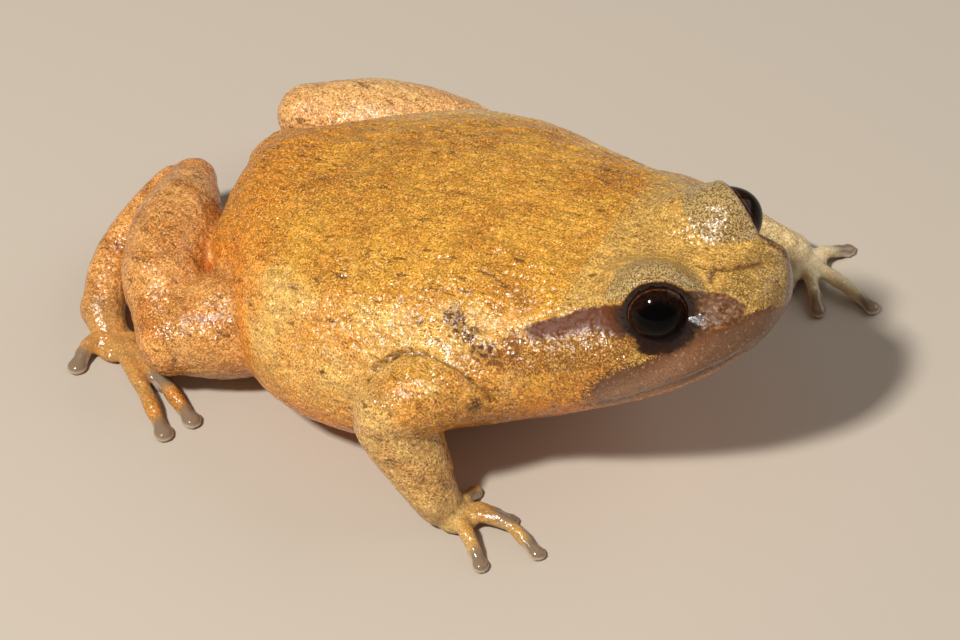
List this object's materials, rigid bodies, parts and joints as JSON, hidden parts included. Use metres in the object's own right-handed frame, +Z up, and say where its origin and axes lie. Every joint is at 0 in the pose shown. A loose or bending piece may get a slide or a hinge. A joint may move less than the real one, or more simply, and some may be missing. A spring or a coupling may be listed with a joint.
{
  "type": "small ground frog model",
  "caption": "Life-size still model of a small plump ground frog, crouched with its head raised, orange-brown above with a dark band through the eye.",
  "frame": {"origin": "on the floor, in the middle of the small flat on which the belly rests", "axes": "+X forward towards the snout, +Y the animal's left, +Z up"},
  "size_m": [0.0394, 0.031, 0.0152],
  "materials": {
    "skin": "moist, finely grained skin",
    "eye": "wet, near black"
  },
  "bodies": {
    "root": {"torso": "skin", "head": "skin", "lower_jaw": "skin", "upper_arm_right": "skin", "upper_arm_left": "skin", "forearm_right": "skin", "forearm_left": "skin", "hand_right": "skin", "hand_left": "skin", "thigh_right": "skin", "thigh_left": "skin", "shank_right": "skin", "shank_left": "skin", "tarsus_right": "skin", "tarsus_left": "skin", "foot_right": "skin", "foot_left": "skin", "eye_right": "eye", "eye_left": "eye"}
  },
  "joints": []
}
